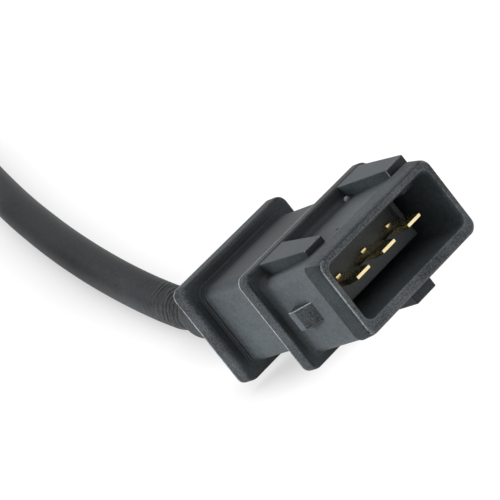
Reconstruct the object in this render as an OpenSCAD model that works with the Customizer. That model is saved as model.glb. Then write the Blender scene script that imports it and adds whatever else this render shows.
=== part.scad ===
// Crankshaft position sensor: a bolted pick-up head, a round cable and a three-blade connector.
// All sizes are in millimetres. The origin is the centre of the head's seat, where the nose
// leaves the flange. The nose points along +X and the whole part lies on a level surface.

/* [Connector mouth] */
// Outside of the mouth along the row of blades
mouth_long = 21.6;
// Outside of the mouth across the row
mouth_tall = 11.4;
mouth_corner = 1.6;
// Thicker band round the mouth: how far back it reaches and how far it stands out
collar_depth = 3;
collar_step = 0.15;
// Middle flange to mouth
shroud_length = 13;
shroud_corner = 1.4;
side_wall = 1.15;
top_wall = 1.35;
bottom_wall = 1.95;
socket_depth = 14;
socket_corner = 1;

/* [Connector flanges and waist] */
rear_flange_long = 20.7;
rear_flange_thick = 2.7;
rear_flange_top = 8.1;
rear_flange_corner = 0.8;
// Both flanges reach the same depth below the mouth's axis
flange_bottom = 6.95;
middle_flange_long = 24.4;
middle_flange_thick = 2;
middle_flange_top = 7.55;
middle_flange_corner = 1.1;
waist_long = 16.6;
waist_length = 15.5;
waist_top = 6.2;
waist_bottom = 5.5;
waist_corner = 1.3;
// Low step round the foot of the waist, on the rear flange
land_height = 0.5;
land_margin = 0.4;

/* [Coding rails and lugs] */
left_rail_near = -7.7;
left_rail_wide = 3.2;
left_rail_length = 7.8;
right_rail_near = 7.75;
right_rail_wide = 3.3;
right_rail_length = 8.7;
rail_flare = 1.4;
rail_rear_top = 7.45;
rail_front_top = 6.6;
// Wedge on each short side that the mating plug's latch snaps over
lug_tall = 2.8;
lug_height = 1.2;
lug_start = 2.8;
lug_crest = 1.2;
lug_length = 4;
// Block under the mouth
key_long = 3.5;
key_height = 1.35;
key_setback = 2;
key_length = 4.2;

/* [Contacts] */
blade_pitch = 5;
blade_wide = 2.8;
blade_thick = 0.8;
blade_rise = 0.5;
blade_setback = 1.9;
crimp_radius = 1.2;
crimp_length = 3;
carrier_long = 15;
carrier_tall = 5.6;
carrier_setback = 6.7;
carrier_depth = 13;
// Its face steps back over the blades, between a cheek at each end
carrier_step = 1.2;
carrier_cheek = 0.7;
core_radius = 0.7;
// Hollow behind the carrier that the wires spread out in
wire_room_tall = 4.8;
wire_room_corner = 0.8;

/* [Neck and cable] */
cable_radius = 2.75;
cable_bore_play = 0.05;
neck_radius = 4.15;
neck_length = 14;
neck_rise = 0.6;
plug_radius = 3.4;
plug_depth = 3.5;
core_hole_radius = 2.1;
// Rear flange of the connector, counted from the head's seat along the nose and across it
connector_ahead = 77.5;
connector_aside = 23.5;
// Bend that brings the cable back to the head: its middle line, and its centre behind the seat
bend_radius = 28;
bend_behind = 36;

/* [Head] */
nose_radius = 8.95;
nose_length = 24;
head_radius = 9.5;
head_length = 16;
ear_thick = 8;
ear_radius = 8;
ear_inset = 0.6;
bolt_distance = 19;
bolt_hole_radius = 3.4;
bush_wall = 1.6;
seal_groove_radius = 6.9;
seal_groove_wide = 3;
seal_groove_place = 4;
seal_thick = 2.25;
head_boot_root = 5;
head_boot_end = 3.8;
head_boot_length = 12;

/* [Pick-up coil] */
chamber_radius = 5.8;
nose_wall = 1.6;
pole_radius = 2.5;
spool_wall = 0.8;
spool_flange = 1.2;
spool_length = 16.4;
winding_radius = 5.2;
magnet_radius = 3.5;
magnet_length = 6;
bobbin_tail = 4;
terminal_wide = 1.2;
terminal_thick = 0.6;
terminal_spread = 2.5;
terminal_out = 4;

/* [Hidden] */

$fn = 48;
overlap = 0.5;

// Stations along the connector, counted from the rear flange's back face
waist_start = rear_flange_thick;
middle_flange_start = waist_start + waist_length;
shroud_start = middle_flange_start + middle_flange_thick;
mouth_plane = shroud_start + shroud_length;
socket_floor = mouth_plane - socket_depth;
carrier_front = mouth_plane - carrier_setback;
carrier_back = carrier_front - carrier_depth;
blade_tip = mouth_plane - blade_setback;
crimp_back = carrier_back - crimp_length;
wire_room_start = rear_flange_thick + land_height;

shroud_long = mouth_long - 2 * collar_step;
shroud_tall = mouth_tall - 2 * collar_step;
socket_long = mouth_long - 2 * side_wall;
socket_tall = mouth_tall - top_wall - bottom_wall;
socket_rise = (bottom_wall - top_wall) / 2;

// The connector leans back on the end of its neck, mouth up
connector_tilt = 18;
floor_z = -head_radius;
connector_lift = neck_length * sin(connector_tilt) + (neck_radius - neck_rise) * cos(connector_tilt);
connector_place = [connector_ahead, connector_aside, floor_z + connector_lift];

// The cable's bend lies flat on the floor until it climbs to the head's axis
bend_start = 66;
bend_level = 200;

// Stations along the head, counted from its seat towards the nose
chamber_front = nose_length - nose_wall;
spool_back = chamber_front - spool_length;
magnet_back = spool_back - magnet_length;
bobbin_back = magnet_back - bobbin_tail;
terminal_back = bobbin_back - terminal_out;
chamber_back = plug_depth - head_length;
bush_radius = bolt_hole_radius + bush_wall;
boot_end = -head_length - head_boot_length;

plastic_black = "#3b3c3e";
plastic_grey = "#55574f";
rubber_black = "#303133";
jacket_black = "#454648";
gold = "#d9b45a";
steel = "#aeb2b6";
copper = "#b8703c";
natural = "#cfc6ae";

// Geometry helpers

function unit(v) = v / norm(v);
function heading(path, i) = unit(path[min(i + 1, len(path) - 1)] - path[max(i - 1, 0)]);
function across(path, i) = unit(cross(heading(path, i), [0, 0, 1]));
function tube_ring(path, i, radius, sides) =
    let (side = across(path, i), top = cross(side, heading(path, i)))
    [for (k = [0 : sides - 1])
        path[i] + radius * (cos(360 * k / sides) * side + sin(360 * k / sides) * top)];
function tube_points(path, radius, sides) =
    [for (i = [0 : len(path) - 1]) each tube_ring(path, i, radius, sides)];
function tube_faces(rings, sides) = concat(
    [[for (k = [sides - 1 : -1 : 0]) k]],
    [[for (k = [0 : sides - 1]) (rings - 1) * sides + k]],
    [for (i = [0 : rings - 2]) for (k = [0 : sides - 1])
        [i * sides + k, i * sides + (k + 1) % sides, (i + 1) * sides + (k + 1) % sides]],
    [for (i = [0 : rings - 2]) for (k = [0 : sides - 1])
        [i * sides + k, (i + 1) * sides + (k + 1) % sides, (i + 1) * sides + k]]);

module tube(path, radius, sides) {
    polyhedron(tube_points(path, radius, sides), tube_faces(len(path), sides));
}

module rounded_rect(long, tall, corner) {
    square([long - 2 * corner, tall], center = true);
    square([long, tall - 2 * corner], center = true);
    for (side = [-1, 1])
        for (end = [-1, 1])
            translate([end * (long / 2 - corner), side * (tall / 2 - corner)])
                circle(corner);
}

// A block with rounded corners along X, from one station to the next, between two heights
module slab(from, to, long, bottom, top, corner) {
    translate([from, 0, (top + bottom) / 2])
        rotate([90, 0, 90])
            linear_extrude(to - from)
                rounded_rect(long, top - bottom, corner);
}

module rod(from, to, radius) {
    translate([from, 0, 0])
        rotate([0, 90, 0])
            cylinder(h = to - from, r = radius);
}

module in_connector() {
    translate(connector_place)
        rotate([0, -connector_tilt, 0])
            children();
}

function connector_point(x, y, z) = connector_place
    + [x * cos(connector_tilt) - z * sin(connector_tilt), y,
        x * sin(connector_tilt) + z * cos(connector_tilt)];
function bend_point(angle, rise) = [bend_radius * cos(angle) - bend_behind,
    bend_radius * (1 + sin(angle)), floor_z + cable_radius + rise];

// Connector

// A rail slopes down to the mouth, and its near side flares out to the middle flange
module rail(near, wide, length) {
    front = shroud_start + length;
    rear = shroud_start - overlap;
    far = near + wide;
    intersection() {
        translate([0, far, 0])
            rotate([90, 0, 0])
                linear_extrude(wide + rail_flare)
                    polygon([[rear, 3], [front, 3], [front, rail_front_top],
                        [shroud_start, rail_rear_top], [rear, rail_rear_top]]);
        linear_extrude(rail_rear_top)
            polygon([[rear, near - rail_flare], [front, near], [front, far], [rear, far]]);
    }
}

module side_lug(side) {
    rear = shroud_start + lug_start;
    wall = shroud_long / 2;
    translate([0, 0, -lug_tall / 2])
        linear_extrude(lug_tall)
            polygon([[rear, side * (wall - overlap)], [rear, side * (wall + lug_height)],
                [rear + lug_crest, side * (wall + lug_height)], [rear + lug_length, side * wall],
                [rear + lug_length, side * (wall - overlap)]]);
}

module connector_shell() {
    slab(0, rear_flange_thick, rear_flange_long, -flange_bottom, rear_flange_top, rear_flange_corner);
    slab(rear_flange_thick - overlap, waist_start + land_height, waist_long + 2 * land_margin,
        -waist_bottom - land_margin, waist_top + land_margin, waist_corner + land_margin);
    slab(waist_start, middle_flange_start + overlap, waist_long, -waist_bottom, waist_top, waist_corner);
    slab(middle_flange_start, shroud_start, middle_flange_long, -flange_bottom, middle_flange_top,
        middle_flange_corner);
    slab(shroud_start - overlap, mouth_plane - collar_depth / 2, shroud_long,
        -shroud_tall / 2, shroud_tall / 2, shroud_corner);
    slab(mouth_plane - collar_depth, mouth_plane, mouth_long, -mouth_tall / 2, mouth_tall / 2,
        mouth_corner);
    rail(left_rail_near, left_rail_wide, left_rail_length);
    rail(right_rail_near, right_rail_wide, right_rail_length);
    side_lug(-1);
    side_lug(1);
    translate([mouth_plane - key_setback - key_length, -key_long / 2, -mouth_tall / 2 - key_height])
        cube([key_length, key_long, key_height + overlap]);
}

module connector_housing() {
    color(plastic_black)
        in_connector()
            difference() {
                connector_shell();
                slab(socket_floor, mouth_plane + 1, socket_long, socket_rise - socket_tall / 2,
                    socket_rise + socket_tall / 2, socket_corner);
                carrier_block(socket_floor + overlap);
                slab(wire_room_start, carrier_back + overlap, carrier_long - 1,
                    blade_rise - wire_room_tall / 2, blade_rise + wire_room_tall / 2, wire_room_corner);
                translate([0, 0, neck_rise])
                    rod(-1, wire_room_start + overlap, plug_radius);
            }
}

module carrier_block(front) {
    translate([carrier_back, -carrier_long / 2, blade_rise - carrier_tall / 2])
        cube([front - carrier_back, carrier_long, carrier_tall]);
}

module contact_carrier() {
    color(plastic_grey)
        in_connector()
            difference() {
                carrier_block(carrier_front);
                translate([carrier_front - carrier_step, carrier_cheek - carrier_long / 2,
                        blade_rise - blade_thick / 2])
                    cube([carrier_step + 1, carrier_long - 2 * carrier_cheek, carrier_tall]);
                for (place = [-1 : 1])
                    blade_blank(place, carrier_back - 1);
            }
}

module blade_blank(place, back) {
    translate([back, place * blade_pitch - blade_wide / 2, blade_rise - blade_thick / 2])
        cube([blade_tip - back, blade_wide, blade_thick]);
}

// A blade with its ground tip, and the crimp barrel that holds its wire behind the carrier
module blade(place) {
    color(gold)
        in_connector() {
            difference() {
                blade_blank(place, carrier_back - overlap);
                for (side = [-1, 1])
                    translate([blade_tip, place * blade_pitch, blade_rise + side * blade_thick * 0.75])
                        rotate([0, side * 15, 0])
                            cube([2.4, 2 * blade_wide, blade_thick], center = true);
            }
            translate([0, place * blade_pitch, blade_rise])
                rod(crimp_back, carrier_back, crimp_radius);
        }
}

module blade_1() { blade(-1); }
module blade_2() { blade(0); }
module blade_3() { blade(1); }

// An insulated wire from the cable's end to its crimp
module connector_core(place) {
    side = place * 1.2;
    rise = neck_rise + (place == 0 ? 1.2 : 0);
    target = place * blade_pitch;
    color(natural)
        tube([connector_point(0, side, rise), connector_point(wire_room_start + 0.4, side, rise),
            connector_point(wire_room_start + 1.4, side * 1.25, rise * 0.95 + blade_rise * 0.05),
            connector_point(crimp_back - 1.4, target * 0.96, blade_rise),
            connector_point(crimp_back - 0.6, target, blade_rise),
            connector_point(crimp_back, target, blade_rise)], core_radius, 8);
}

module connector_core_1() { connector_core(-1); }
module connector_core_2() { connector_core(0); }
module connector_core_3() { connector_core(1); }

// Rubber sleeve plugged into the rear flange; the cable's jacket ends on its inner shoulder
module connector_neck() {
    color(rubber_black)
        in_connector()
            translate([0, 0, neck_rise])
                difference() {
                    union() {
                        rod(-neck_length, 0, neck_radius);
                        rod(-overlap, wire_room_start, plug_radius);
                    }
                    rod(-neck_length - 1, 0, cable_radius + cable_bore_play);
                    rod(-1, wire_room_start + 1, core_hole_radius);
                }
}

// Cable

// Lead from the connector: points counted from the rear flange's place, with heights over the floor
lead_points = [[-17.3, 0.3, 3.05], [-21.3, 1.1, 2.75], [-31, 3.3, 2.75], [-43.2, 6.7, 2.75],
    [-57.2, 11.3, 2.75], [-73.5, 17.5, 2.75], [-82.9, 21.5, 2.75]];
// Climb to the head: angle round the bend and share of the height between the floor and the head's axis
climb = [[212, 0.02], [225, 0.15], [240, 0.4], [255, 0.67], [270, 0.89]];
climb_height = head_radius - cable_radius;
cable_path = concat(
    [connector_point(0, 0, neck_rise), connector_point(-neck_length, 0, neck_rise)],
    [for (p = lead_points) [connector_ahead + p[0], connector_aside + p[1], floor_z + p[2]]],
    [for (angle = [bend_start : (bend_level - bend_start) / 10 : bend_level + 1]) bend_point(angle, 0)],
    [for (step = climb) bend_point(step[0], step[1] * climb_height)],
    [[boot_end - 4, 0, -0.03 * climb_height], [boot_end, 0, 0], [-head_length, 0, 0]]);

module cable() {
    color(jacket_black)
        tube(cable_path, cable_radius, 12);
}

// Head

// Outline of the bolt ear: its round end, and sides that run into the head a little inside its edge
module ear_outline() {
    root = head_radius - ear_inset;
    lean = asin((root - ear_radius) / bolt_distance);
    translate([0, bolt_distance])
        circle(ear_radius);
    polygon([[root * cos(lean), root * sin(lean)], [-root * cos(lean), root * sin(lean)],
        [-ear_radius * cos(lean), bolt_distance + ear_radius * sin(lean)],
        [ear_radius * cos(lean), bolt_distance + ear_radius * sin(lean)]]);
}

module sensor_shell() {
    rod(-head_length, 0, head_radius);
    rod(-overlap, nose_length, nose_radius);
    translate([-ear_thick, 0, 0])
        rotate([0, 90, 0])
            linear_extrude(ear_thick)
                ear_outline();
}

module sensor_housing() {
    groove = seal_groove_place - seal_groove_wide / 2;
    color(plastic_black)
        difference() {
            sensor_shell();
            difference() {
                rod(groove, groove + seal_groove_wide, nose_radius + 1);
                rod(groove - 1, groove + seal_groove_wide + 1, seal_groove_radius);
            }
            rod(chamber_back, chamber_front, chamber_radius);
            rod(chamber_front - overlap, nose_length + 1, pole_radius);
            rod(-head_length - 1, chamber_back + overlap, plug_radius);
            translate([0, bolt_distance, 0])
                rod(-ear_thick - 1, 1, bush_radius);
        }
}

module bolt_bush() {
    color(steel)
        translate([0, bolt_distance, 0])
            difference() {
                rod(-ear_thick, 0, bush_radius);
                rod(-ear_thick - 1, 1, bolt_hole_radius);
            }
}

module seal_ring() {
    color(rubber_black)
        translate([seal_groove_place, 0, 0])
            rotate([0, 90, 0])
                rotate_extrude()
                    translate([seal_groove_radius + seal_thick / 2 + 0.01, 0])
                        circle(seal_thick / 2, $fn = 24);
}

module pole_pin() {
    color(steel)
        rod(spool_back, nose_length, pole_radius);
}

module magnet() {
    color(steel)
        rod(magnet_back, spool_back, magnet_radius);
}

module coil_terminal_blank(side) {
    translate([terminal_back, side * terminal_spread - terminal_wide / 2, -terminal_thick / 2])
        cube([magnet_back - overlap - terminal_back, terminal_wide, terminal_thick]);
}

// Spool for the winding, with a tail block that holds the magnet and both terminals
module bobbin() {
    color(natural)
        difference() {
            union() {
                rod(spool_back, chamber_front, pole_radius + spool_wall);
                rod(chamber_front - spool_flange, chamber_front, chamber_radius);
                rod(bobbin_back, spool_back + spool_flange, chamber_radius);
            }
            rod(spool_back - overlap, chamber_front + 1, pole_radius);
            rod(magnet_back, spool_back, magnet_radius);
            coil_terminal_blank(-1);
            coil_terminal_blank(1);
        }
}

module winding() {
    color(copper)
        difference() {
            rod(spool_back + spool_flange, chamber_front - spool_flange, winding_radius);
            rod(spool_back, chamber_front, pole_radius + spool_wall);
        }
}

module coil_terminal_1() { color(gold) coil_terminal_blank(-1); }
module coil_terminal_2() { color(gold) coil_terminal_blank(1); }

// An insulated wire from a terminal to the cable's end
module head_core(side) {
    color(natural)
        tube([[terminal_back, side * terminal_spread, 0], [terminal_back - 0.8, side * terminal_spread, 0],
            [terminal_back - 2.6, side * 1.3, 0], [chamber_back + 0.4, side * 1.2, 0],
            [-head_length, side * 1.2, 0]], core_radius, 8);
}

module head_core_1() { head_core(-1); }
module head_core_2() { head_core(1); }

// Tapered rubber sleeve plugged into the back of the head
module head_boot() {
    color(rubber_black)
        difference() {
            union() {
                translate([boot_end, 0, 0])
                    rotate([0, 90, 0])
                        cylinder(h = head_boot_length, r1 = head_boot_end, r2 = head_boot_root);
                rod(-head_length - overlap, chamber_back, plug_radius);
            }
            rod(boot_end - 1, -head_length, cable_radius + cable_bore_play);
            rod(-head_length - 1, chamber_back + 1, core_hole_radius);
        }
}

connector_housing();
contact_carrier();
blade_1();
blade_2();
blade_3();
connector_core_1();
connector_core_2();
connector_core_3();
connector_neck();
cable();
sensor_housing();
bolt_bush();
seal_ring();
pole_pin();
magnet();
bobbin();
winding();
coil_terminal_1();
coil_terminal_2();
head_core_1();
head_core_2();
head_boot();
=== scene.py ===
from math import asin, cos, pi, radians, sin

import bmesh
import bpy
from mathutils import Matrix, Vector


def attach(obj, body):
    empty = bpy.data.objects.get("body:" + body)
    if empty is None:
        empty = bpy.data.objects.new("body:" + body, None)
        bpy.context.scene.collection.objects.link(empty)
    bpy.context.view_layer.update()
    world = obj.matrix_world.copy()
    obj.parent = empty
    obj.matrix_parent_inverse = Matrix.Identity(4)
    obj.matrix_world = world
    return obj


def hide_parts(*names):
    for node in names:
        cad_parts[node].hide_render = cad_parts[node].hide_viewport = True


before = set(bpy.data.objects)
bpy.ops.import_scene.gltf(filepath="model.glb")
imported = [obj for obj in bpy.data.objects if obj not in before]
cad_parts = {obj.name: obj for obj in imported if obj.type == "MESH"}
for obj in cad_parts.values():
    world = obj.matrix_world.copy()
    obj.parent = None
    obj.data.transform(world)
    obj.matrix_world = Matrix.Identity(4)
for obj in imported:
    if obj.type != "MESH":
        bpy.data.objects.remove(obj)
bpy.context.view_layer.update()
scene = bpy.context.scene
scene.view_settings.view_transform = "Standard"


# Connector housing: one injection moulding in black glass-filled nylon, with two flanges, a
# waist between them and a shroud round the blades. It is lofted here from rounded rectangles, one for
# each change of section, and the rails, wedges, key and two small moulding marks are fused with it.
MM = 0.001
CONNECTOR_TILT = radians(18)
CONNECTOR_PLACE = (0.0775, 0.0235, -0.001798)
in_connector = Matrix.Translation(CONNECTOR_PLACE) @ Matrix.Rotation(-CONNECTOR_TILT, 4, "Y")


def softened(run, steps=4, closed=False):
    """Rounds each corner of a run of points by the radius that is the point's last value."""
    made = []
    for k, point in enumerate(run):
        here, radius = Vector(point[:-1]), point[-1]
        ends = not closed and k in (0, len(run) - 1)
        if ends or radius == 0:
            made.append(tuple(here))
            continue
        before = Vector(run[k - 1][:-1]) - here
        after = Vector(run[(k + 1) % len(run)][:-1]) - here
        start = here + before * min(radius / before.length, 0.49)
        stop = here + after * min(radius / after.length, 0.49)
        for step in range(steps + 1):
            t = step / steps
            made.append(tuple(start * (1 - t) ** 2 + here * 2 * t * (1 - t) + stop * t ** 2))
    return made


def section_point(section, k, count):
    """Point k of a rounded rectangle: x, half its length, bottom, top and corner radius."""
    x, half, bottom, top, corner = section
    quarter = count // 4
    bend = k // quarter
    turn = (bend + (k % quarter) / (quarter - 1)) * pi / 2
    y_side = 1 if bend in (0, 3) else -1
    z_middle = top - corner if bend in (0, 1) else bottom + corner
    return Vector((x, y_side * (half - corner) + corner * cos(turn), z_middle + corner * sin(turn)))


def loft(sections, count=48):
    """A closed shell drawn out from the first rounded rectangle to the last."""
    bm = bmesh.new()
    ring = bmesh.ops.create_circle(bm, cap_ends=True, segments=count, radius=1)["verts"]
    for k, vert in enumerate(ring):
        vert.co = section_point(sections[0], k, count)
    for section in sections[1:]:
        edges = [bm.edges.get((ring[k - 1], ring[k])) for k in range(count)]
        drawn = bmesh.ops.extrude_edge_only(bm, edges=edges)["geom"]
        fresh = {part for part in drawn if isinstance(part, bmesh.types.BMVert)}
        ring = [next(e.other_vert(v) for e in v.link_edges if e.other_vert(v) in fresh) for v in ring]
        for k, vert in enumerate(ring):
            vert.co = section_point(section, k, count)
    bmesh.ops.edgeloop_fill(bm, edges=[bm.edges.get((ring[k - 1], ring[k])) for k in range(count)])
    bmesh.ops.recalc_face_normals(bm, faces=bm.faces)
    return bm


def block(low, high, top_front=None, soft=0.25, segments=3, flare=0):
    """A cube drawn to two corners, its top sloped to the front, its near side flared at the rear."""
    bm = bmesh.new()
    for vert in bmesh.ops.create_cube(bm, size=1)["verts"]:
        front, top = vert.co.x > 0, vert.co.z > 0
        vert.co.x = high[0] if front else low[0]
        vert.co.y = high[1] if vert.co.y > 0 else low[1] if front else low[1] - flare
        vert.co.z = low[2] if not top else top_front if front and top_front else high[2]
    bmesh.ops.bevel(bm, geom=bm.edges[:], offset=soft, segments=segments, profile=0.5,
                    affect="EDGES", material=-1, clamp_overlap=True)
    return bm


def fused(body, additions=(), cuts=()):
    """One closed shell from a body, what is added to it and what is cut out of it."""
    holders = []
    for bm in (body, *additions, *cuts):
        mesh = bpy.data.meshes.new("stock")
        bm.to_mesh(mesh)
        bm.free()
        holders.append(bpy.data.objects.new("stock", mesh))
        scene.collection.objects.link(holders[-1])
    for k, holder in enumerate(holders[1:]):
        step = holders[0].modifiers.new("fuse", "BOOLEAN")
        step.operation = "UNION" if k < len(additions) else "DIFFERENCE"
        step.solver = "EXACT"
        step.object = holder
    bpy.context.view_layer.update()
    made = bmesh.new()
    made.from_object(holders[0], bpy.context.evaluated_depsgraph_get())
    for holder in holders:
        bpy.data.meshes.remove(holder.data)
    return made


def piece(bm, name, materials, nodes, place=Matrix(), sharp=32):
    """Sets a finished shell, drawn in millimetres, in its place and lets it stand for its nodes."""
    bmesh.ops.transform(bm, matrix=place @ Matrix.Scale(MM, 4), verts=bm.verts)
    mesh = bpy.data.meshes.new(name)
    bm.to_mesh(mesh)
    bm.free()
    mesh.polygons.foreach_set("use_smooth", [True] * len(mesh.polygons))
    mesh.set_sharp_from_angle(angle=radians(sharp))
    for material in materials:
        mesh.materials.append(material)
    made = bpy.data.objects.new(name, mesh)
    scene.collection.objects.link(made)
    flat = made.modifiers.new("flat_faces", "WEIGHTED_NORMAL")
    flat.keep_sharp = True
    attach(made, "root")
    if nodes:
        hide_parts(*nodes)
    return made


def colour(hex_code):
    """An sRGB hex value as the linear colour that a shader takes."""
    levels = [int(hex_code[k:k + 2], 16) / 255 for k in (1, 3, 5)]
    return [v / 12.92 if v <= 0.04045 else ((v + 0.055) / 1.055) ** 2.4 for v in levels] + [1]


def add_node(tree, kind, values=None, links=None):
    """Adds one node, sets its values and joins its inputs."""
    made = tree.nodes.new(kind)
    for key, value in (values or {}).items():
        if isinstance(key, int) or key in made.inputs:
            made.inputs[key].default_value = value
        else:
            setattr(made, key, value)
    for key, socket in (links or {}).items():
        tree.links.new(socket, made.inputs[key])
    return made


def moulded(name, dark, light, rough, grain_mm, depth, patch_mm=6.0, wear_and_highlight=None, shine=0.5, corner_shade_mm=0,
            top=None):
    """A moulded plastic or rubber: cloudy colour, uneven sheen and fine grain. The edge colour is painted
    on its edges as wear and highlight, the corner reach in mm is how far painted shade darkens its corners,
    and top is a painted shade on what faces up."""
    material = bpy.data.materials.new(name)
    material.use_nodes = True
    tree = material.node_tree
    shader = tree.nodes["Principled BSDF"]
    shader.inputs["Specular IOR Level"].default_value = shine
    place = add_node(tree, "ShaderNodeTexCoord").outputs["Object"]
    cloud = add_node(tree, "ShaderNodeTexNoise", {"Scale": 1 / (patch_mm * MM), "Detail": 5.0,
                                                  "Roughness": 0.62}, {"Vector": place})
    # The real grain is about 0.05 mm, too fine to show, so it is drawn as coarse as grain_mm says.
    grain = add_node(tree, "ShaderNodeTexNoise", {"Scale": 1 / (grain_mm * MM), "Detail": 3.0},
                     {"Vector": place})
    mottle = add_node(tree, "ShaderNodeMath", {"operation": "ADD"},
                      {0: cloud.outputs["Fac"], 1: grain.outputs["Fac"]})
    shade = add_node(tree, "ShaderNodeMath", {"operation": "MULTIPLY", 1: 0.5}, {0: mottle.outputs[0]})
    tint = add_node(tree, "ShaderNodeValToRGB", links={"Fac": shade.outputs[0]})
    tint.color_ramp.elements[0].position = 0.38
    tint.color_ramp.elements[0].color = colour(dark)
    tint.color_ramp.elements[1].position = 0.62
    tint.color_ramp.elements[1].color = colour(light)
    skin = tint.outputs["Color"]
    # Painted highlight with wear: edges are lightened towards a pale colour, broken by the grain.
    if wear_and_highlight:
        rounded = add_node(tree, "ShaderNodeBevel", {"samples": 6, "Radius": 0.22 * MM})
        true_normal = add_node(tree, "ShaderNodeNewGeometry").outputs["Normal"]
        turn = add_node(tree, "ShaderNodeVectorMath", {"operation": "DOT_PRODUCT"},
                        {0: rounded.outputs["Normal"], 1: true_normal})
        edge = add_node(tree, "ShaderNodeMapRange", {"From Min": 0.99, "From Max": 0.85, "To Max": 2.5},
                        {"Value": turn.outputs["Value"]})
        wear_and_highlight_share = add_node(tree, "ShaderNodeMath", {"operation": "MULTIPLY"},
                          {0: edge.outputs["Result"], 1: grain.outputs["Fac"]})
        pale = add_node(tree, "ShaderNodeMix", {"data_type": "RGBA", "B": colour(wear_and_highlight)},
                        {"Factor": wear_and_highlight_share.outputs[0], "A": skin})
        skin = pale.outputs["Result"]
    # Painted shade: what faces up is multiplied by a darker grey.
    if top:
        true_normal = add_node(tree, "ShaderNodeNewGeometry").outputs["Normal"]
        rise = add_node(tree, "ShaderNodeSeparateXYZ", links={0: true_normal}).outputs["Z"]
        up_shade = add_node(tree, "ShaderNodeMapRange", {"From Min": 0.1, "From Max": 0.9}, {"Value": rise})
        top_shaded = add_node(tree, "ShaderNodeMix",
                          {"data_type": "RGBA", "blend_type": "MULTIPLY", "B": colour(top)},
                          {"Factor": up_shade.outputs["Result"], "A": skin})
        skin = top_shaded.outputs["Result"]
    # Painted shade: corners and crevices are darkened towards near black.
    if corner_shade_mm:
        corner = add_node(tree, "ShaderNodeAmbientOcclusion", {"samples": 8, "Distance": corner_shade_mm * MM})
        corner_unshaded = add_node(tree, "ShaderNodeMapRange", {"From Min": 0.35, "To Min": 0.15},
                         {"Value": corner.outputs["AO"]})
        corner_shaded = add_node(tree, "ShaderNodeMix", {"data_type": "RGBA", "A": colour("#0e1011")},
                          {"Factor": corner_unshaded.outputs["Result"], "B": skin})
        skin = corner_shaded.outputs["Result"]
    tree.links.new(skin, shader.inputs["Base Color"])
    sheen = add_node(tree, "ShaderNodeMapRange", {"To Min": rough - 0.06, "To Max": rough + 0.06},
                     {"Value": cloud.outputs["Fac"]})
    tree.links.new(sheen.outputs["Result"], shader.inputs["Roughness"])
    bump = add_node(tree, "ShaderNodeBump", {"Strength": 0.35, "Distance": depth * MM},
                    {"Height": grain.outputs["Fac"]})
    tree.links.new(bump.outputs["Normal"], shader.inputs["Normal"])
    return material


# Glass-filled nylon, as it leaves the mould: dark grey with a blue cast, dull, and painted near black
# in its corners as shade. The same nylon has painted shade on the waist's top, is coarse and dark on the
# flanges' rims and, as painted shade, on the wedges' ramps, speckled on the lip and the collar, pale on
# edges as wear and painted highlight, painted dark as shade on the sides, and painted lighter inside as
# light.
nylon = moulded("glass_filled_nylon", "#353a3d", "#454b4f", 0.52, 0.35, 0.03, shine=0.3, corner_shade_mm=3.5)
# Painted shade: the waist's copy is darker where it faces up.
waist_shaded_top_nylon = moulded("waist_shaded_top_nylon", "#353a3d", "#454b4f", 0.52, 0.35, 0.03, shine=0.3, corner_shade_mm=3.5,
                      top="#b9b9b9")
rim_nylon = moulded("coarse_nylon", "#101315", "#3f4448", 0.55, 0.25, 0.2, shine=0.25)
lip_nylon = moulded("scuffed_nylon", "#2e3336", "#7a7f82", 0.5, 0.22, 0.2, shine=0.3)
collar_nylon = moulded("collar_nylon", "#292d30", "#4c5155", 0.55, 0.25, 0.2, shine=0.25)
wear_and_highlight_nylon = moulded("wear_and_highlight_nylon", "#42474a", "#8a8f92", 0.45, 0.25, 0.1, shine=0.4)
side_shaded_nylon = moulded("side_shaded_nylon", "#1c2022", "#2f3437", 0.6, 0.25, 0.1, shine=0.2)
socket_lit_nylon = moulded("socket_lit_nylon", "#454c50", "#5a6266", 0.45, 0.35, 0.05, shine=0.35)

# Along the connector, in mm from the back of its rear flange.
rear_front, land_front, middle_back, middle_front = 2.7, 3.2, 18.2, 20.2
groove_start, collar_start, mouth, socket_floor = 29.9, 30.2, 33.2, 19.2
# Across it: half the section's length, its bottom, its top and the radius of its corners.
rear_section = (10.35, -6.95, 8.1, 1.2)
land_section = (8.7, -5.9, 6.6, 1.7)
waist_section = (8.3, -5.5, 6.2, 1.3)
middle_section = (12.25, -6.95, 7.6, 1.2)
groove_section = (10.5, -5.5, 5.6, 1.1)
lip_section = (9.85, -3.9, 4.75, 1.15)
socket_section = (9.65, -3.75, 4.35, 1)
# Each row of the loft is a place, a section and the softening of its edge.
flanges_and_waist = [
    (0, 10, -6.6, 7.75, 0.6, 0),
    (0, *rear_section, 0.16),
    (0.3, *rear_section, 0),
    (rear_front, *rear_section, 0.9),
    (rear_front, *land_section, 0.3),
    (land_front, *land_section, 0.2),
    (land_front, *waist_section, 0.9),
    (middle_back, *waist_section, 1.2),
    (middle_back, *middle_section, 0.16),
    (middle_back + 0.3, *middle_section, 0),
    (middle_front, *middle_section, 0.7)]
shroud_and_collar = [
    (middle_front, 10.65, -5.65, 5.6, 1.2, 1.1),
    (groove_start, 10.65, -5.65, 5.75, 1.2, 0.05),
    (groove_start + 0.05, *groove_section, 0),
    (collar_start - 0.05, *groove_section, 0),
    (collar_start, 10.85, -5.7, 6, 1.2, 0.08),
    (mouth, 10.7, -5.45, 5.6, 1.2, 0.95),
    (mouth, *lip_section, 0.24)]
socket_inside = [
    (mouth - 0.6, *socket_section, 0.2),
    (socket_floor, *socket_section, 0.3),
    (socket_floor, 9, -3.1, 3.7, 0.7, 0)]
connector_run = flanges_and_waist + shroud_and_collar + socket_inside
rail_back, rail_foot, rail_top, rail_soft, rail_flare = 19.6, 3, 7.5, 0.14, 1.5
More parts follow.
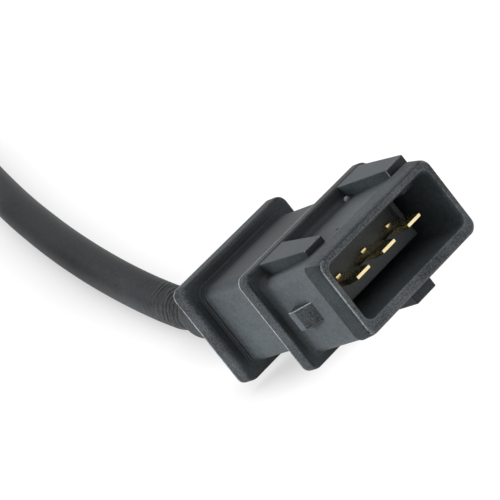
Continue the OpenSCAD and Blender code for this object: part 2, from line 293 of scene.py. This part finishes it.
left_rail = block((rail_back, -7.7, rail_foot), (28, -4.5, rail_top), 6.6, rail_soft, flare=rail_flare)
right_rail = block((rail_back, 7.75, rail_foot), (28.9, 11.05, rail_top), 6.75, rail_soft, flare=rail_flare)
key_back = 27
key = block((key_back, -1.75, -7.1), (31.3, 1.9, -4.6), None, 0.15)
gate_place = Vector((21.2, 5.8, 5.75))
gate_mark = bmesh.new()
bmesh.ops.create_icosphere(gate_mark, subdivisions=3, radius=0.42, matrix=Matrix.Translation(gate_place))
pin_place = Vector((28.4, -2.45, 5.8))
pin_mark = bmesh.new()
bmesh.ops.create_icosphere(pin_mark, subdivisions=3, radius=0.3, matrix=Matrix.Translation(pin_place))
wedge_back, crest_end, ramp_end, wedge_crest, wedge_half = 23, 24.2, 27, 11.85, 1.4


def latch_wedge(side):
    """The wedge on a short side: a steep back, a flat crest and a long ramp to the mouth."""
    bm = bmesh.new()
    outline = [(wedge_back, 10), (wedge_back, wedge_crest), (crest_end, wedge_crest), (ramp_end, 10.65),
               (ramp_end, 10)]
    low_face = bm.faces.new([bm.verts.new((x, side * y, -wedge_half)) for x, y in outline])
    drawn = bmesh.ops.extrude_face_region(bm, geom=[low_face])["geom"]
    bmesh.ops.translate(bm, vec=(0, 0, 2 * wedge_half),
                        verts=[v for v in drawn if isinstance(v, bmesh.types.BMVert)])
    bmesh.ops.recalc_face_normals(bm, faces=bm.faces)
    bmesh.ops.bevel(bm, geom=bm.edges[:], offset=0.12, segments=3, profile=0.5, affect="EDGES",
                    material=-1, clamp_overlap=True)
    return bm


def at_edge(middle, section, ends, below, above):
    """True for a place outside a section's outline, or no further inside it than these depths."""
    half, bottom, top = section[:3]
    return abs(middle.y) > half - ends or not bottom + below < middle.z < top - above


def shell_finish(middle, facing):
    """The finish of one face of the shell, with its painted highlight, shade and light, from its middle and
    the way it faces.
    """
    aside = abs(middle.y)
    outward = facing.y if middle.y > 0 else -facing.y
    slanted = sorted(abs(part) for part in facing)[1] > 0.2
    in_mouth = not at_edge(middle, lip_section, -0.05, -0.05, -0.05)
    rear_rim = middle.x < rear_front + 0.02 and at_edge(middle, rear_section, 0.45, 0.45, 0.4)
    middle_flange = middle_back - 0.05 < middle.x < middle_front + 0.05
    middle_rim = middle_flange and at_edge(middle, middle_section, 0.55, 0.45, 0.5)
    rounding = middle_flange and middle.x > middle_front - 0.9 and 0.15 < facing.x < 0.9
    rounded_front = rounding and (aside > 11.4 or middle.z < -6.2)
    along_wedge = wedge_back - 0.1 < middle.x < ramp_end + 0.1
    wedge = along_wedge and aside > 10.75 and abs(middle.z) < wedge_half + 0.1
    ramp = wedge and middle.x > crest_end and abs(facing.z) < 0.2
    collar = middle.x > collar_start and not in_mouth
    key_face = middle.x > key_back - 0.1 and middle.z < -5.7
    rail_side = middle_front + 0.1 < middle.x < 29 and middle.z > 5.85 and facing.y < -0.9

    flange_edge = (rear_rim and middle.x < 0.35) or (middle_rim and middle.x < middle_back + 0.35)
    rail_edge = slanted and middle.x > 27.6 and middle.z > 6.1
    wedge_edge = slanted and wedge and (facing.x < -0.2 or facing.z > 0.2)
    front = middle.x > mouth - 0.6
    collar_edge = slanted and collar and front and aside > 9.9 and 0.5 < facing.x < 0.85
    by_mouth = middle.x > mouth - 0.2 and not at_edge(middle, lip_section, -0.15, -0.2, -0.15)
    mouth_edge = by_mouth and facing.x < 0.98
    gate = (middle - gate_place).length < 0.5
    # Painted highlight with wear: edges and the gate mark are pale.
    if gate or flange_edge or rail_edge or wedge_edge or collar_edge or mouth_edge:
        return wear_and_highlight_nylon
    if middle.x > mouth - 0.65 and facing.x > 0.7:
        return lip_nylon
    # Painted shade: the rails' near sides and the collar's outer sides are darker.
    if rail_side or (collar and outward > 0.6):
        return side_shaded_nylon
    if rounded_front or collar or key_face:
        return collar_nylon
    # Painted light: the socket's inside is lighter.
    if middle.x > socket_floor - 0.1 and in_mouth:
        return socket_lit_nylon
    # Painted shade: the wedges' ramps take the dark rim nylon.
    if rear_rim or middle_rim or ramp:
        return rim_nylon
    return waist_shaded_top_nylon if rear_front + 0.1 < middle.x < middle_back - 0.05 else nylon


raised = [left_rail, right_rail, key, gate_mark, latch_wedge(-1), latch_wedge(1)]
shell = fused(loft(softened(connector_run)), raised, [pin_mark])
shell_finishes = [nylon, rim_nylon, lip_nylon, wear_and_highlight_nylon, socket_lit_nylon, side_shaded_nylon, collar_nylon,
                  waist_shaded_top_nylon]
for face in shell.faces:
    face.material_index = shell_finishes.index(shell_finish(face.calc_center_median(), face.normal))
piece(shell, "connector_shell", shell_finishes, ["connector_housing"], in_connector)


# Contact carrier: a block of dark nylon pressed into the back of the socket, which holds the
# blades at their pitch. Its face is stepped: a shelf under the blades, and a cheek at each end.
# Unfilled nylon: a little smoother than the housing's; its cheeks are painted lighter than its face, as
# painted light.
carrier_nylon = moulded("carrier_nylon", "#383e41", "#495053", 0.42, 0.3, 0.02, 3.0)
cheek_lit_nylon = moulded("cheek_lit_nylon", "#565e61", "#6b7275", 0.42, 0.3, 0.02, 3.0)
carrier = block((13.5, -7.5, -2.3), (26.5, 7.5, 3.3), None, 0.15)
carrier_step = block((25.3, -6.8, 0.1), (28, 6.8, 4), None, 0.1)
stepped = fused(carrier, cuts=[carrier_step])
# Painted light: faces turned along Y, the cheeks, take the lighter copy.
for face in stepped.faces:
    face.material_index = int(abs(face.normal.y) > 0.5)
piece(stepped, "blade_carrier", [carrier_nylon, cheek_lit_nylon], ["contact_carrier"], in_connector)


# Blades: three flat tabs of brass strip, stamped, gold plated and pressed through the carrier.
# The tip is ground to a wedge so that it finds the plug's contact, and a barb holds each at its root.
# Gold over nickel on brass: pale yellow, bright and slightly cloudy.
gold = bpy.data.materials.new("gold_plated_brass")
gold.use_nodes = True
gold_shader = gold.node_tree.nodes["Principled BSDF"]
gold_shader.inputs["Metallic"].default_value = 1
gold_place = add_node(gold.node_tree, "ShaderNodeTexCoord").outputs["Object"]
gold_cloud = add_node(gold.node_tree, "ShaderNodeTexNoise", {"Scale": 1 / (0.8 * MM), "Detail": 4.0},
                      {"Vector": gold_place})
gold_tint = add_node(gold.node_tree, "ShaderNodeMix",
                     {"data_type": "RGBA", "A": colour("#fff2cc"), "B": colour("#f2d68f")},
                     {"Factor": gold_cloud.outputs["Fac"]})
gold_sheen = add_node(gold.node_tree, "ShaderNodeMapRange", {"To Min": 0.18, "To Max": 0.34},
                      {"Value": gold_cloud.outputs["Fac"]})
gold.node_tree.links.new(gold_tint.outputs["Result"], gold_shader.inputs["Base Color"])
gold.node_tree.links.new(gold_sheen.outputs["Result"], gold_shader.inputs["Roughness"])
blade_wide, blade_thick, blade_height = 2.8, 0.8, 0.5
blade_back, blade_shoulder, blade_tip = 10.5, 29.4, 31.3
tip_wide, tip_thick = 0.86, 0.55
for number, middle in ((1, -5), (2, 0.05), (3, 5.1)):
    tab = bmesh.new()
    for vert in bmesh.ops.create_cube(tab, size=1)["verts"]:
        vert.co = (blade_shoulder if vert.co.x > 0 else blade_back, middle + vert.co.y * blade_wide,
                   blade_height + vert.co.z * blade_thick)
    tab.faces.ensure_lookup_table()
    end = max(tab.faces, key=lambda face: face.calc_center_median().x)
    drawn = bmesh.ops.extrude_discrete_faces(tab, faces=[end])["faces"][0]
    for vert in drawn.verts:
        vert.co = (blade_tip, middle + (vert.co.y - middle) * tip_wide,
                   blade_height + (vert.co.z - blade_height) * tip_thick)
    bmesh.ops.remove_doubles(tab, verts=tab.verts, dist=1e-4)
    bmesh.ops.bevel(tab, geom=tab.edges[:], offset=0.09, segments=2, profile=0.5, affect="EDGES",
                    material=-1, clamp_overlap=True)
    barb = block((25.1, middle - 0.3, 0.7), (25.9, middle + 0.75, 1.2), None, 0.2)
    piece(fused(tab, [barb]), f"blade_tab_{number}", [gold], [f"blade_{number}"], in_connector)


# Neck: a sleeve of black rubber plugged into the rear flange, which grips the cable's jacket.
# Turned here from its half section, round the cable's own axis.
# Black rubber: nearly black, soft in its sheen.
rubber = moulded("black_rubber", "#1e2022", "#282a2c", 0.45, 0.3, 0.02, shine=0.3)


def turned(run, steps=64, closed=True):
    """A shell of revolution round X from a run of (x, radius, softening) points."""
    bm = bmesh.new()
    points = softened(run, 4, closed)
    verts = [bm.verts.new((x, 0, r)) for x, r in points]
    edges = [bm.edges.new((verts[k - 1], verts[k])) for k in range(0 if closed else 1, len(verts))]
    bmesh.ops.spin(bm, geom=verts + edges, axis=(1, 0, 0), cent=(0, 0, 0), angle=2 * pi,
                   steps=steps, use_merge=True)
    bmesh.ops.remove_doubles(bm, verts=bm.verts, dist=1e-5)
    bmesh.ops.recalc_face_normals(bm, faces=bm.faces)
    return bm


neck_end, neck_rise = -14, 0.6
neck = turned([(0.2, 2.8, 0), (0.2, 4.15, 0), (neck_end, 4.15, 0.7), (neck_end, 2.85, 0.3)])
in_neck = in_connector @ Matrix.Translation((0, 0, neck_rise * MM))
piece(neck, "cable_neck", [rubber], ["connector_neck"], in_neck)


# Cable: round three-core lead with a satin black jacket, 5.5 mm across. It leaves the neck, comes
# down on to the table, turns back in one wide bend and climbs into the boot of the head.
FLOOR = -0.0095
CABLE_RADIUS = 0.00275
BEND_RADIUS = 0.028
BEND_BEHIND = 0.036
neck_points = [in_neck @ Vector((x * MM, 0, 0)) for x in (-6, -10, neck_end)]
# The seen lead, from the neck along the table: millimetres from the connector's place and over the floor.
lead_mm = [(-17.3, 0.3, 3.08), (-21.3, 1.1, 2.8), (-26, 2.1, 2.76), (-31, 3.3, 2.75), (-37, 4.9, 2.75),
           (-43.2, 6.7, 2.75), (-50, 8.85, 2.75), (-57.2, 11.3, 2.75), (-65.2, 14.25, 2.75),
           (-73.5, 17.5, 2.75), (-82.9, 21.5, 2.75), (-92.5, 25.8, 2.75)]
route = neck_points + [Vector((CONNECTOR_PLACE[0] + x * MM, CONNECTOR_PLACE[1] + y * MM, FLOOR + z * MM))
                       for x, y, z in lead_mm]


def bend_point(angle, rise_mm):
    """A point on the bend's middle line, at an angle round it and a height over the level part."""
    turn = radians(angle)
    return Vector((BEND_RADIUS * cos(turn) - BEND_BEHIND, BEND_RADIUS * (1 + sin(turn)),
                   FLOOR + CABLE_RADIUS + rise_mm * MM))


bend_start, bend_turn = 66, 134
route += [bend_point(bend_start + bend_turn * k / 10, 0) for k in range(11)]
climb = ((212, 0.13), (225, 1), (240, 2.7), (255, 4.5), (270, 6))
route += [bend_point(angle, rise) for angle, rise in climb]
route += [Vector((x * MM, 0, z * MM)) for x, z in ((-32, -0.2), (-28, 0), (-22, 0))]
cable_line = bpy.data.curves.new("sensor_cable", "CURVE")
cable_line.dimensions = "3D"
cable_line.bevel_depth = CABLE_RADIUS
cable_line.bevel_resolution = 8
cable_line.resolution_u = 8
cable_line.use_fill_caps = True
strand = cable_line.splines.new("BEZIER")
strand.bezier_points.add(len(route) - 1)
for knot, point in zip(strand.bezier_points, route):
    knot.co = point
    knot.handle_left_type = "AUTO"
    knot.handle_right_type = "AUTO"
# Extruded jacket: satin, dark grey, and darker and finely wrinkled where it is bent at the neck.
jacket = moulded("cable_jacket", "#2b2d2f", "#37393b", 0.48, 0.5, 0.008, shine=0.1)
jacket_tree = jacket.node_tree
jacket_place = add_node(jacket_tree, "ShaderNodeTexCoord").outputs["Object"]
jacket_x = add_node(jacket_tree, "ShaderNodeSeparateXYZ", links={0: jacket_place}).outputs["X"]
neck_x = neck_points[-1].x
near_neck = add_node(jacket_tree, "ShaderNodeMapRange",
                     {"From Min": neck_x - 14 * MM, "From Max": neck_x - 2 * MM}, {"Value": jacket_x})
# Wrinkles about a millimetre apart: a wave's bands lie pi / 10 of its unit from each other.
wrinkle_mm = 1.0472
ripple = add_node(jacket_tree, "ShaderNodeTexWave",
                  {"Scale": pi / (10 * wrinkle_mm * MM), "Distortion": 7.0, "Detail": 2.0},
                  {"Vector": jacket_place})
patch = add_node(jacket_tree, "ShaderNodeTexNoise", {"Scale": 1 / (1.8 * MM), "Detail": 2.0},
                 {"Vector": jacket_place})
patches = add_node(jacket_tree, "ShaderNodeMapRange", {"From Min": 0.4, "From Max": 0.62},
                   {"Value": patch.outputs["Fac"]})
folds = add_node(jacket_tree, "ShaderNodeMath", {"operation": "MULTIPLY"},
                 {0: ripple.outputs["Fac"], 1: patches.outputs["Result"]})
wrinkles = add_node(jacket_tree, "ShaderNodeBump", {"Distance": 0.35 * MM},
                    {"Height": folds.outputs[0], "Strength": near_neck.outputs["Result"]})
# The colour darkens towards the neck.
neck_darkening = add_node(jacket_tree, "ShaderNodeMapRange",
                  {"From Min": neck_x - 18 * MM, "From Max": neck_x - 1 * MM, "To Max": 0.6},
                  {"Value": jacket_x})
jacket_colour = jacket_tree.nodes["Principled BSDF"].inputs["Base Color"]
darkened_jacket = add_node(jacket_tree, "ShaderNodeMix", {"data_type": "RGBA", "B": colour("#181a1b")},
                   {"Factor": neck_darkening.outputs["Result"], "A": jacket_colour.links[0].from_socket})
jacket_tree.links.new(darkened_jacket.outputs["Result"], jacket_colour)
jacket_tree.links.new(wrinkles.outputs["Normal"], jacket_tree.nodes["Bump"].inputs["Normal"])
cable_line.materials.append(jacket)
cable = bpy.data.objects.new("sensor_cable", cable_line)
scene.collection.objects.link(cable)
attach(cable, "root")
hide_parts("cable")


# Head: a second nylon moulding round the pick-up coil, a plain round body with a bolt ear and a
# nose that fits the engine's bore. The body is turned, and the ear is drawn out and fused to it.
# The same black nylon, a little glossier, with edges painted paler as wear and highlight.
head_nylon = moulded("head_nylon", "#292d30", "#373c3f", 0.42, 0.35, 0.03, wear_and_highlight="#8a8e90")
body_back, body_radius, nose_tip, nose_radius = -16, 9.5, 24, 8.95
groove_back, groove_front, groove_floor = 2.5, 5.5, 6.9
coil_back, coil_front, coil_hole, pin_hole, plug_hole = -12.5, 22.4, 5.8, 2.5, 3.4
body_run = [(body_back, plug_hole, 0), (body_back, body_radius, 0.9), (0, body_radius, 0.3),
            (0, nose_radius, 0)]
groove_run = [(groove_back, nose_radius, 0.2), (groove_back, groove_floor, 0.25),
              (groove_front, groove_floor, 0.25), (groove_front, nose_radius, 0.2)]
tip_run = [(nose_tip, nose_radius, 1), (nose_tip, pin_hole, 0), (coil_front, pin_hole, 0)]
bore_run = [(coil_front, coil_hole, 0), (coil_back, coil_hole, 0), (coil_back, plug_hole, 0)]
head = turned(body_run + groove_run + tip_run + bore_run)
# The ear's straight sides run from a circle round the body to touch the circle round the bolt.
bolt_offset, bush_radius, ear_radius, ear_thick, root_radius = 19, 5, 8, 8, 8.9
root_lean = asin((root_radius - ear_radius) / bolt_offset)
ear_root = (root_radius * sin(root_lean), root_radius * cos(root_lean))
ear_edge = [(ear_root[0], -ear_root[1])]
ear_edge += [(bolt_offset + ear_radius * cos(radians(turn)), ear_radius * sin(radians(turn)))
             for turn in range(-87, 88, 6)]
ear_edge += [ear_root]
ear = bmesh.new()
ear_face = ear.faces.new([ear.verts.new((-ear_thick, y, z)) for y, z in ear_edge])
ear_front = bmesh.ops.extrude_face_region(ear, geom=[ear_face])["geom"]
bmesh.ops.translate(ear, vec=(ear_thick, 0, 0),
                    verts=[v for v in ear_front if isinstance(v, bmesh.types.BMVert)])
bmesh.ops.recalc_face_normals(ear, faces=ear.faces)
rims = [edge for edge in ear.edges if abs(edge.verts[0].co.x - edge.verts[1].co.x) < 0.01]
bmesh.ops.bevel(ear, geom=rims, offset=0.5, segments=3, profile=0.5, affect="EDGES", material=-1)
bush_hole = bmesh.new()
bmesh.ops.create_cone(bush_hole, cap_ends=True, segments=64, radius1=bush_radius, radius2=bush_radius,
                      depth=30, matrix=Matrix.Translation((-ear_thick / 2, bolt_offset, 0))
                      @ Matrix.Rotation(pi / 2, 4, "Y"))
piece(fused(head, [ear], [bush_hole]), "head_body", [head_nylon], ["sensor_housing"])


# Bush: a turned steel tube moulded into the ear, so that the bolt doesn't crush the plastic.
# Its pale zinc shows fine rings from the lathe.
def metal(name, dark, light, rough, ring_mm):
    """A turned metal: fine rings across X in its colour and its sheen."""
    material = bpy.data.materials.new(name)
    material.use_nodes = True
    tree = material.node_tree
    shader = tree.nodes["Principled BSDF"]
    shader.inputs["Metallic"].default_value = 1
    place = add_node(tree, "ShaderNodeTexCoord").outputs["Object"]
    stretched = add_node(tree, "ShaderNodeMapping", {"Scale": (1 / (ring_mm * MM), 60, 60)},
                         {"Vector": place})
    rings = add_node(tree, "ShaderNodeTexNoise", {"Scale": 1.0, "Detail": 4.0},
                     {"Vector": stretched.outputs["Vector"]})
    tint = add_node(tree, "ShaderNodeMix", {"data_type": "RGBA", "A": colour(dark), "B": colour(light)},
                    {"Factor": rings.outputs["Fac"]})
    tree.links.new(tint.outputs["Result"], shader.inputs["Base Color"])
    sheen = add_node(tree, "ShaderNodeMapRange", {"To Min": rough - 0.08, "To Max": rough + 0.08},
                     {"Value": rings.outputs["Fac"]})
    tree.links.new(sheen.outputs["Result"], shader.inputs["Roughness"])
    return material


# Zinc plate: pale grey, half bright. The lathe's rings are drawn coarser than they are, so that they show.
zinc = metal("zinc_plated_steel", "#9ea2a6", "#c4c8cb", 0.34, 0.15)
bush_bore = 3.4
bush = turned([(-ear_thick, bush_bore, 0.3), (-ear_thick, bush_radius, 0.1), (0, bush_radius, 0.1),
               (0, bush_bore, 0.3)])
piece(bush, "ear_bush", [zinc], ["bolt_bush"], Matrix.Translation((0, bolt_offset * MM, 0)))


# Seal: an O-ring of soft black rubber in the groove of the nose, where it closes the engine's bore.
# Moulded in one piece and rolled on over the tip; turned here from its round section.
# Soft rubber: black, a shade paler and shinier than the sleeves.
seal_rubber = moulded("seal_rubber", "#2c2d2f", "#37383a", 0.38, 0.2, 0.01)
seal_place, seal_thick, seal_gap = (groove_back + groove_front) / 2, 1.125, 0.01
seal_middle = groove_floor + seal_gap + seal_thick
seal_turns = [2 * pi * k / 24 for k in range(24)]
seal_run = [(seal_place + seal_thick * cos(turn), seal_middle + seal_thick * sin(turn), 0)
            for turn in seal_turns]
piece(turned(seal_run), "nose_seal", [seal_rubber], ["seal_ring"])


# Boot: a tapered rubber sleeve plugged into the back of the head, with rings moulded round it so
# that it bends with the cable.
taper, ring_radius, dip_radius, ring_pitch = 0.1, 5, 4.45, 1.9
boot_end, cable_hole, wire_hole = -28, 2.8, 2.3
boot_run = [(coil_back, wire_hole, 0), (coil_back, plug_hole, 0.2), (body_back, plug_hole, 0),
            (body_back, ring_radius, 0.3)]
for ring in range(5):
    back = body_back - 1.6 - ring_pitch * ring
    drop = (back - body_back) * taper
    boot_run += [(back, ring_radius + drop, 0.25),
                 (back - 0.15, dip_radius + drop, 0.2),
                 (back - 0.75, dip_radius + drop + 0.06, 0.2),
                 (back - 0.9, ring_radius + drop - 0.09, 0.25)]
boot_run += [(boot_end, 3.8, 0.5), (boot_end, cable_hole, 0.2), (body_back, cable_hole, 0),
             (body_back, wire_hole, 0)]
piece(turned(boot_run), "head_sleeve", [rubber], ["head_boot"])


# Coil and wires: the pole pin shows at the tip of the nose; the magnet, the spool with its
# winding, the terminals and the cable's cores lie inside. Each keeps its CAD form and gets a finish.
def finish(material, *nodes):
    """Gives carried-over nodes their material."""
    for node in nodes:
        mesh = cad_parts[node].data
        mesh.materials.clear()
        mesh.materials.append(material)


# Ground steel is grey and bright, the magnet dark and grainy, the enamel on the copper brown and glossy,
# and the unpainted nylon and the insulation are cream and smooth.
finish(metal("ground_steel", "#8d9195", "#aeb2b5", 0.3, 0.2), "pole_pin")
finish(metal("sintered_magnet", "#5c5e62", "#75777a", 0.5, 0.4), "magnet")
finish(metal("enamelled_copper", "#9a5426", "#c47a40", 0.3, 0.12), "winding")
finish(moulded("natural_nylon", "#c9c0a6", "#d6cfba", 0.45, 0.3, 0.02), "bobbin")
finish(gold, "coil_terminal_1", "coil_terminal_2")
finish(moulded("wire_insulation", "#c8c4b6", "#d6d2c6", 0.42, 0.4, 0.01), "connector_core_1",
       "connector_core_2", "connector_core_3", "head_core_1", "head_core_2")


# Studio: a white table and backdrop under plain soft light, with the camera at the photograph's
# angle. The table keeps the object's shadow, and looks white to the camera and in reflections.
floor_mesh = bpy.data.meshes.new("studio_floor")
floor_shape = bmesh.new()
bmesh.ops.create_grid(floor_shape, x_segments=1, y_segments=1, size=3)
bmesh.ops.translate(floor_shape, vec=(0, 0, FLOOR), verts=floor_shape.verts)
floor_shape.to_mesh(floor_mesh)
floor_shape.free()
floor = bpy.data.objects.new("studio_floor", floor_mesh)
scene.collection.objects.link(floor)


def direct_ray(tree):
    """1 for a ray that the camera sees, straight or in a reflection or through glass."""
    ray = add_node(tree, "ShaderNodeLightPath")
    shiny = add_node(tree, "ShaderNodeMath", {"operation": "MAXIMUM"},
                     {0: ray.outputs["Is Camera Ray"], 1: ray.outputs["Is Glossy Ray"]})
    clear = add_node(tree, "ShaderNodeMath", {"operation": "MAXIMUM"},
                     {0: shiny.outputs[0], 1: ray.outputs["Is Transmission Ray"]})
    return clear.outputs[0]


# White paper: it glows just under white where the camera sees it, less near the object as a painted
# contact shadow, and takes the lamps' shadow on top of that. To other rays it is a plain pale card.
paper = bpy.data.materials.new("white_paper")
paper.use_nodes = True
paper_tree = paper.node_tree
paper_tree.nodes.remove(paper_tree.nodes["Principled BSDF"])
matte = add_node(paper_tree, "ShaderNodeBsdfDiffuse", {"Color": colour("#6c6c6c")})
bounce = add_node(paper_tree, "ShaderNodeBsdfDiffuse", {"Color": colour("#cbcbcb")})
contact = add_node(paper_tree, "ShaderNodeAmbientOcclusion", {"samples": 16, "Distance": 0.006})
glow_with_painted_shadow = add_node(paper_tree, "ShaderNodeMapRange", {"To Min": 0.45, "To Max": 0.96},
                {"Value": contact.outputs["AO"]})
lit = add_node(paper_tree, "ShaderNodeEmission", {"Color": colour("#ffffff")},
               {"Strength": glow_with_painted_shadow.outputs["Result"]})
both = add_node(paper_tree, "ShaderNodeAddShader", links={0: matte.outputs[0], 1: lit.outputs[0]})
seen = add_node(paper_tree, "ShaderNodeMixShader",
                links={0: direct_ray(paper_tree), 1: bounce.outputs[0], 2: both.outputs[0]})
paper_tree.links.new(seen.outputs[0], paper_tree.nodes["Material Output"].inputs["Surface"])
floor_mesh.materials.append(paper)

world = bpy.data.worlds.new("studio")
scene.world = world
world.use_nodes = True
sky = world.node_tree.nodes["Background"]
sky.inputs["Color"].default_value = colour("#ffffff")
sky_level = add_node(world.node_tree, "ShaderNodeMapRange", {"To Min": 0.4, "To Max": 1.0},
                     {"Value": direct_ray(world.node_tree)})
world.node_tree.links.new(sky_level.outputs["Result"], sky.inputs["Strength"])


def softbox(name, place, aim, size, power):
    """A square soft lamp at a place, turned to what it lights."""
    lamp = bpy.data.lights.new(name, "AREA")
    lamp.shape = "SQUARE"
    lamp.size = size
    lamp.energy = power
    holder = bpy.data.objects.new(name, lamp)
    scene.collection.objects.link(holder)
    holder.location = place
    holder.visible_glossy = False
    holder.rotation_euler = (Vector(place) - Vector(aim)).to_track_quat("Z", "Y").to_euler()


connector_middle = (0.09, 0.03, 0)
softbox("side_box", (-0.35, -0.65, 0.14), connector_middle, 0.5, 15)
softbox("top_box", (0, 0, 1.2), connector_middle, 2.0, 2)

lens = bpy.data.cameras.new("photo_camera")
lens.lens = 216
lens.sensor_width = 36
lens.clip_start = 0.01
camera = bpy.data.objects.new("photo_camera", lens)
scene.collection.objects.link(camera)
# Place and axes fitted to the connector's corners in the photograph.
camera_place = Vector((0.362822, -0.163291, 0.173665))
right = Vector((0.661507, 0.617907, -0.424971))
down = Vector((0.064785, -0.61164, -0.78848))
ahead = Vector((-0.747136, 0.494053, -0.444635))
turned_to = Matrix((right, -down, -ahead)).transposed()
camera.matrix_world = Matrix.Translation(camera_place) @ turned_to.to_4x4()
scene.camera = camera
